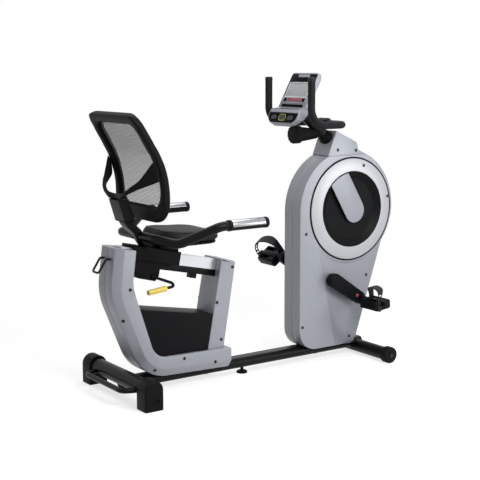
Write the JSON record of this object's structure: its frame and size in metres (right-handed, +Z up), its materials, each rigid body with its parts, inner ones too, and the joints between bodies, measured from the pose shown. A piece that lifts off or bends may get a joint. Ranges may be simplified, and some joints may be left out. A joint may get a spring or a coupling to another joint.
{
  "type": "recumbent exercise bike",
  "caption": "Recumbent exercise bike with a sliding mesh-backed seat, belt-driven cranks and flywheel in a tall housing, a tilting handlebar and a console.",
  "frame": {"origin": "on the floor below the middle of the bike's length and width", "axes": "+X forward from the seat to the drive housing, +Y to the rider's left, +Z up"},
  "size_m": [1.5179, 0.643, 1.296],
  "materials": {
    "silver_plastic": "satin metallic grey",
    "black_plastic": "matt black",
    "black_steel": "satin black",
    "bright_ring": "bright silver",
    "bare_aluminium": "drawn",
    "bare_steel": "turned",
    "grey_iron": "machined",
    "wheel_rubber": "matt black",
    "belt_rubber": "matt black",
    "grip_chrome": "polished",
    "seat_vinyl": "grained black",
    "back_fabric": "open weave",
    "yellow_grip": "yellow",
    "screen_face": "grey display",
    "key_rubber": "grey"
  },
  "bodies": {
    "frame": {"seat_base_cover_right": "silver_plastic", "seat_base_cover_left": "silver_plastic", "leg_cover": "silver_plastic", "drive_cover_right": "silver_plastic", "drive_cover_left": "silver_plastic", "neck_cover": "silver_plastic", "console_shell": "silver_plastic", "rear_end_caps": "black_plastic", "centre_panel": "black_plastic", "cover_dishes": "black_plastic", "mast_boot": "black_plastic", "clamp_cover": "black_plastic", "main_beam": "black_steel", "rear_stabilizer": "black_steel", "carry_handle": "black_steel", "front_stabilizer": "black_steel", "seat_posts": "black_steel", "rail_bar": "black_steel", "loop_handle": "black_steel", "drive_frame": "black_steel", "mast": "black_steel", "cover_rings": "bright_ring", "seat_rail": "bare_aluminium", "base_bolts": "bare_steel", "crank_bearings": "bare_steel", "cover_screws": "bare_steel", "drive_belt": "belt_rubber", "console_screen": "screen_face"},
    "seat": {"seat_carriage": "black_plastic", "rail_glides": "black_plastic", "seat_pan": "black_plastic", "seat_cushion": "seat_vinyl", "seat_handlebar": "black_steel", "pulse_grips": "grip_chrome", "back_arm": "black_steel", "back_bracket": "black_plastic", "back_yoke": "black_plastic", "back_frame": "black_plastic", "back_mesh": "back_fabric"},
    "lever": {"adjust_lever": "black_steel", "lever_grip": "yellow_grip"},
    "crank": {"crank_axle": "bare_steel", "crank_right": "black_steel", "crank_left": "black_steel", "crank_pulley": "black_plastic"},
    "flywheel": {"flywheel": "grey_iron", "flywheel_axle": "bare_steel"},
    "brake": {"brake_arm": "bare_aluminium"},
    "right_pedal": {"pedal_right": "black_plastic", "strap_right": "belt_rubber"},
    "left_pedal": {"pedal_left": "black_plastic", "strap_left": "belt_rubber"},
    "right_wheel": {"transport_wheel_right": "wheel_rubber"},
    "left_wheel": {"transport_wheel_left": "wheel_rubber"},
    "foot": {"levelling_foot": "wheel_rubber"},
    "knob": {"clamp_knob": "black_plastic"},
    "upper_handlebar": {"handlebar": "black_steel"},
    "down_key": {"key_down": "key_rubber"},
    "enter_key": {"key_enter": "key_rubber"},
    "up_key": {"key_up": "key_rubber"}
  },
  "joints": [
    {"name": "seat_slide", "type": "slide", "parent": "frame", "child": "seat", "axis": [0.9781, 0, -0.2079], "range_m": [0, 0.16]},
    {"name": "lever_lift", "type": "hinge", "parent": "seat", "child": "lever", "pos_m": [-0.522, -0.046, 0.486], "axis": [0, 1, 0], "range_deg": [0, 20], "stiffness_Nm_per_rad": 2, "springref_deg": -11.46},
    {"name": "crank_spin", "type": "hinge", "parent": "frame", "child": "crank", "pos_m": [0.396, 0, 0.372], "axis": [0, 1, 0], "continuous": true},
    {"name": "flywheel_spin", "type": "hinge", "parent": "frame", "child": "flywheel", "pos_m": [0.511, 0, 0.686], "axis": [0, 1, 0], "continuous": true},
    {"name": "right_pedal_spin", "type": "hinge", "parent": "crank", "child": "right_pedal", "pos_m": [0.54025, -0.192, 0.27832], "axis": [0, 1, 0], "continuous": true},
    {"name": "left_pedal_spin", "type": "hinge", "parent": "crank", "child": "left_pedal", "pos_m": [0.25175, 0.192, 0.46568], "axis": [0, 1, 0], "continuous": true},
    {"name": "brake_swing", "type": "hinge", "parent": "frame", "child": "brake", "pos_m": [0.47076, 0.031, 0.82634], "axis": [0, -1, 0], "range_deg": [0, 5]},
    {"name": "right_wheel_spin", "type": "hinge", "parent": "frame", "child": "right_wheel", "pos_m": [0.582, -0.249, 0.037], "axis": [0, 1, 0], "continuous": true},
    {"name": "left_wheel_spin", "type": "hinge", "parent": "frame", "child": "left_wheel", "pos_m": [0.582, 0.249, 0.037], "axis": [0, 1, 0], "continuous": true},
    {"name": "foot_turn", "type": "hinge", "parent": "frame", "child": "foot", "pos_m": [-0.051, 0, 0.005], "axis": [0, 0, 1], "continuous": true},
    {"name": "knob_turn", "type": "hinge", "parent": "frame", "child": "knob", "pos_m": [0.238, 0, 1.029], "axis": [1, 0, 0], "continuous": true},
    {"name": "handlebar_tilt", "type": "hinge", "parent": "frame", "child": "upper_handlebar", "pos_m": [0.397, 0, 1.073], "axis": [0, 1, 0], "range_deg": [-10, 20]},
    {"name": "down_key_press", "type": "slide", "parent": "frame", "child": "down_key", "axis": [0.9212, 0, -0.389], "range_m": [0, 0.0015], "stiffness_N_per_m": 600, "springref_m": -0.0008},
    {"name": "enter_key_press", "type": "slide", "parent": "frame", "child": "enter_key", "axis": [0.9212, 0, -0.389], "range_m": [0, 0.0015], "stiffness_N_per_m": 600, "springref_m": -0.0008},
    {"name": "up_key_press", "type": "slide", "parent": "frame", "child": "up_key", "axis": [0.9212, 0, -0.389], "range_m": [0, 0.0015], "stiffness_N_per_m": 600, "springref_m": -0.0008}
  ],
  "couplings": [
    {"joint": "flywheel_spin", "follows": "crank_spin", "ratio": 4.6667}
  ]
}
